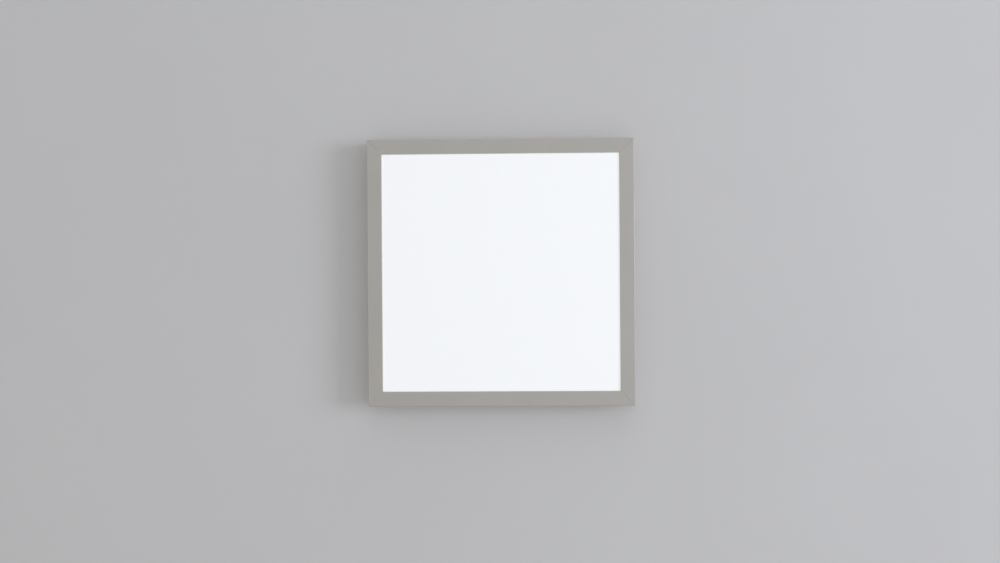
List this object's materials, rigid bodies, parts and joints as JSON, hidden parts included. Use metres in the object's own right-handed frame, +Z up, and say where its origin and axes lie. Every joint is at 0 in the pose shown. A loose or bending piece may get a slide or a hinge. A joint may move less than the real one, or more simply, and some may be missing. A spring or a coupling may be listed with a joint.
{
  "type": "flush mount ceiling light",
  "caption": "Square edge-lit flush ceiling light: mitred metal frame, opal panel, driver and terminal block, hung from a ceiling bracket on hook hinges and held shut by side screws",
  "frame": {"origin": "centre of the ceiling bracket's box screw slots, in the ceiling's plane", "axes": "+Z up into the ceiling; +X from the hinges to the lock screws; +Y toward the driver"},
  "size_m": [0.3005, 0.3, 0.03],
  "materials": {
    "frame_metal": "satin silver-grey finish, fine grain",
    "opal_panel": "opal acrylic, evenly lit",
    "clear_acrylic": "clear acrylic light guide",
    "white_sheet": "white reflector film",
    "grey_foam": "closed cell foam",
    "strip_white": "white solder resist",
    "led_yellow": "phosphor",
    "white_paint": "white powder coat on steel",
    "galvanised": "galvanised sheet steel",
    "zinc_screw": "zinc plated steel",
    "bright_steel": "bright steel",
    "rivet_alloy": "aluminium rivet",
    "earth_green": "green earth screw",
    "terminal_shell": "moulded polyamide",
    "button_orange": "orange moulding",
    "clamp_copper": "tinned copper alloy",
    "lead_black": "black sleeve",
    "lead_white": "white sleeve",
    "lead_green": "green sleeve",
    "lead_red": "red sleeve",
    "black_rubber": "grommet rubber",
    "nylon": "natural nylon",
    "board_green": "green circuit board",
    "ferrite": "sintered ferrite",
    "yellow_tape": "yellow winding tape",
    "can_black": "capacitor sleeve",
    "copper_wire": "enamelled copper",
    "film_yellow": "film capacitor case",
    "chip_black": "moulded epoxy"
  },
  "bodies": {
    "ceiling_mount": {"ceiling_bracket": "galvanised", "hinge_arm_front": "galvanised", "hinge_arm_back": "galvanised", "arm_rivets": "rivet_alloy", "bracket_grommet": "black_rubber", "lock_nuts": "zinc_screw", "bracket_earth_screw": "earth_green"},
    "light": {"frame_front": "frame_metal", "frame_right": "frame_metal", "frame_back": "frame_metal", "frame_left": "frame_metal", "corner_keys": "bright_steel", "corner_set_screws": "zinc_screw", "diffuser": "opal_panel", "light_guide": "clear_acrylic", "reflector_sheet": "white_sheet", "foam_pad": "grey_foam", "led_strip_left": "strip_white", "led_strip_right": "strip_white", "led_chips": "led_yellow", "led_jumper_lead": "lead_red", "back_plate": "white_paint", "back_plate_screws": "zinc_screw", "lead_bushes": "black_rubber", "led_lead_positive": "lead_red", "led_lead_negative": "lead_black", "lead_clips": "nylon", "terminal_housing": "terminal_shell", "terminal_clamps": "clamp_copper", "live_lead": "lead_black", "neutral_lead": "lead_white", "earth_lead": "lead_green", "earth_lug": "clamp_copper", "earth_screw": "earth_green", "driver_tray": "galvanised", "driver_cover": "galvanised", "driver_cover_screws": "zinc_screw", "driver_screws": "zinc_screw", "circuit_board": "board_green", "board_posts": "nylon", "transformer_core": "ferrite", "transformer_winding": "yellow_tape", "bulk_capacitor": "can_black", "output_capacitor": "can_black", "line_choke": "copper_wire", "film_capacitor": "film_yellow", "heat_sink": "rivet_alloy", "transistor": "chip_black", "hinge_lug_front": "galvanised", "hinge_lug_back": "galvanised", "hinge_lug_rivets": "rivet_alloy", "hinge_pin_front": "bright_steel", "hinge_pin_back": "bright_steel"},
    "live_button": {"terminal_button_live": "button_orange"},
    "neutral_button": {"terminal_button_neutral": "button_orange"},
    "earth_button": {"terminal_button_earth": "button_orange"},
    "front_lock_screw": {"lock_screw_front": "bright_steel"},
    "back_lock_screw": {"lock_screw_back": "bright_steel"},
    "front_lock_washer": {"lock_washer_front": "bright_steel"},
    "back_lock_washer": {"lock_washer_back": "bright_steel"}
  },
  "joints": [
    {"name": "light_swing", "type": "hinge", "parent": "ceiling_mount", "child": "light", "pos_m": [-0.1443, 0, -0.014], "axis": [0, 1, 0], "range_deg": [0, 90]},
    {"name": "live_button_press", "type": "slide", "parent": "light", "child": "live_button", "axis": [0, 0, -1], "range_m": [0, 0.0015], "stiffness_N_per_m": 1500, "springref_m": -0.0005},
    {"name": "neutral_button_press", "type": "slide", "parent": "light", "child": "neutral_button", "axis": [0, 0, -1], "range_m": [0, 0.0015], "stiffness_N_per_m": 1500, "springref_m": -0.0005},
    {"name": "earth_button_press", "type": "slide", "parent": "light", "child": "earth_button", "axis": [0, 0, -1], "range_m": [0, 0.0015], "stiffness_N_per_m": 1500, "springref_m": -0.0005},
    {"name": "front_washer_slide", "type": "slide", "parent": "ceiling_mount", "child": "front_lock_washer", "axis": [1, 0, 0], "range_m": [0, 0.0049]},
    {"name": "front_screw_turn", "type": "hinge", "parent": "front_lock_washer", "child": "front_lock_screw", "pos_m": [0.1496, -0.045, -0.008], "axis": [1, 0, 0], "range_deg": [-5, 96]},
    {"name": "back_washer_slide", "type": "slide", "parent": "ceiling_mount", "child": "back_lock_washer", "axis": [1, 0, 0], "range_m": [0, 0.0049]},
    {"name": "back_screw_turn", "type": "hinge", "parent": "back_lock_washer", "child": "back_lock_screw", "pos_m": [0.1496, 0.045, -0.008], "axis": [1, 0, 0], "range_deg": [-5, 96]}
  ],
  "couplings": [
    {"joint": "front_screw_turn", "follows": "front_washer_slide", "rad_per_m": 320.57},
    {"joint": "back_screw_turn", "follows": "back_washer_slide", "rad_per_m": 320.57}
  ]
}
